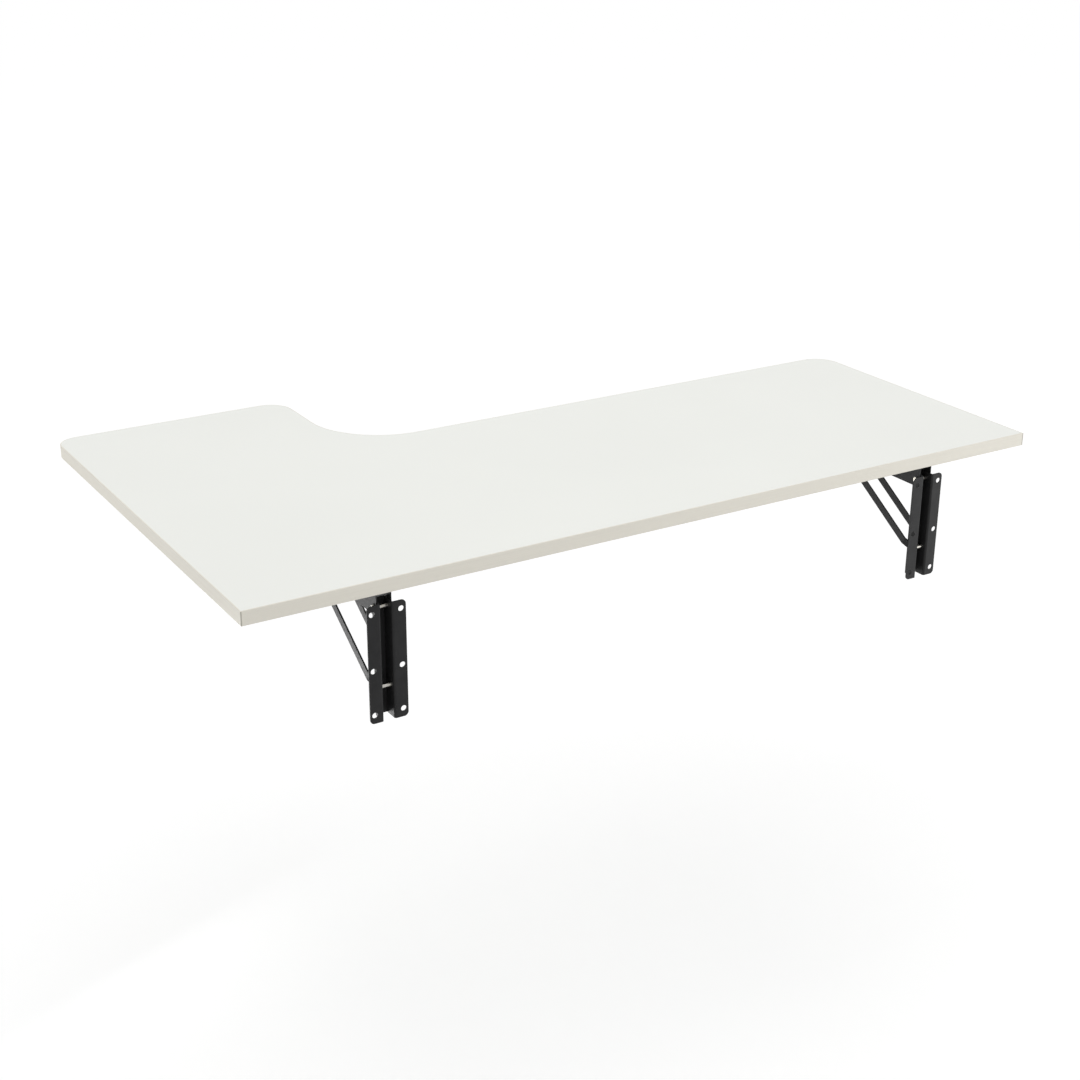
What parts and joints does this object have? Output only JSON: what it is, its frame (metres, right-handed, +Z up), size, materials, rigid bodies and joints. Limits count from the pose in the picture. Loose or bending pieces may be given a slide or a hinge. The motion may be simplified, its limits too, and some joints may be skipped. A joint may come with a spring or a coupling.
{
  "type": "wall-hung folding corner desk",
  "caption": "L-shaped white desk top that hangs on a wall and folds down flat on black folding steel brackets with paired brace bars.",
  "frame": {"origin": "centre of the whole wall screw pattern, on the wall's face, midway between the two brackets", "axes": "+X along the wall to the right as seen from the wall side, +Y out from the wall, +Z up"},
  "size_m": [1.6, 0.9, 0.245],
  "materials": {
    "board_core": "raw chipboard",
    "white_laminate": "satin",
    "edge_band": "satin",
    "black_powder_coat": "satin powder coat",
    "zinc_plate": "bright zinc",
    "black_nylon": "moulded",
    "spring_steel": "blued"
  },
  "bodies": {
    "wall_frame": {"left_wall_channel": "black_powder_coat", "left_pivot_pin": "zinc_plate", "left_pivot_washers": "black_nylon", "left_brace_pin": "zinc_plate", "left_brace_spacers": "black_nylon", "right_wall_channel": "black_powder_coat", "right_pivot_pin": "zinc_plate", "right_pivot_washers": "black_nylon", "right_brace_pin": "zinc_plate", "right_brace_spacers": "black_nylon"},
    "desk": {"panel_core": "board_core", "top_laminate": "white_laminate", "underside_laminate": "white_laminate", "contour_edge_band": "edge_band", "rear_edge_band": "edge_band", "left_arm": "black_powder_coat", "left_arm_screws": "zinc_plate", "left_catch_spring": "spring_steel", "left_catch_rivets": "zinc_plate", "right_arm": "black_powder_coat", "right_arm_screws": "zinc_plate", "right_catch_spring": "spring_steel", "right_catch_rivets": "zinc_plate"},
    "left_brace": {"left_brace_left_bar": "black_powder_coat", "left_brace_right_bar": "black_powder_coat", "left_brace_studs": "zinc_plate"},
    "left_slider": {"left_slider_block": "black_nylon", "left_slider_pin": "zinc_plate"},
    "right_brace": {"right_brace_left_bar": "black_powder_coat", "right_brace_right_bar": "black_powder_coat", "right_brace_studs": "zinc_plate"},
    "right_slider": {"right_slider_block": "black_nylon", "right_slider_pin": "zinc_plate"}
  },
  "joints": [
    {"name": "desk_fold", "type": "hinge", "parent": "wall_frame", "child": "desk", "pos_m": [0, 0.017, 0.091], "axis": [-1, 0, 0], "range_deg": [0, 90]},
    {"name": "left_brace_swing", "type": "hinge", "parent": "wall_frame", "child": "left_brace", "pos_m": [-0.561, 0.0115, -0.045], "axis": [-1, 0, 0], "range_deg": [0, 121.2]},
    {"name": "left_slide", "type": "slide", "parent": "desk", "child": "left_slider", "axis": [0, 1, 0], "range_m": [0, 0.1836], "deforming": ["left_catch_spring"]},
    {"name": "right_brace_swing", "type": "hinge", "parent": "wall_frame", "child": "right_brace", "pos_m": [0.561, 0.0115, -0.045], "axis": [-1, 0, 0], "range_deg": [0, 121.2]},
    {"name": "right_slide", "type": "slide", "parent": "desk", "child": "right_slider", "axis": [0, 1, 0], "range_m": [0, 0.1836], "deforming": ["right_catch_spring"]}
  ],
  "couplings": [
    {"joint": "left_brace_swing", "follows": "desk_fold", "ratio": 1.3442},
    {"joint": "left_slide", "follows": "desk_fold", "m_per_rad": 0.11681},
    {"joint": "right_brace_swing", "follows": "desk_fold", "ratio": 1.3442},
    {"joint": "right_slide", "follows": "desk_fold", "m_per_rad": 0.11681}
  ]
}
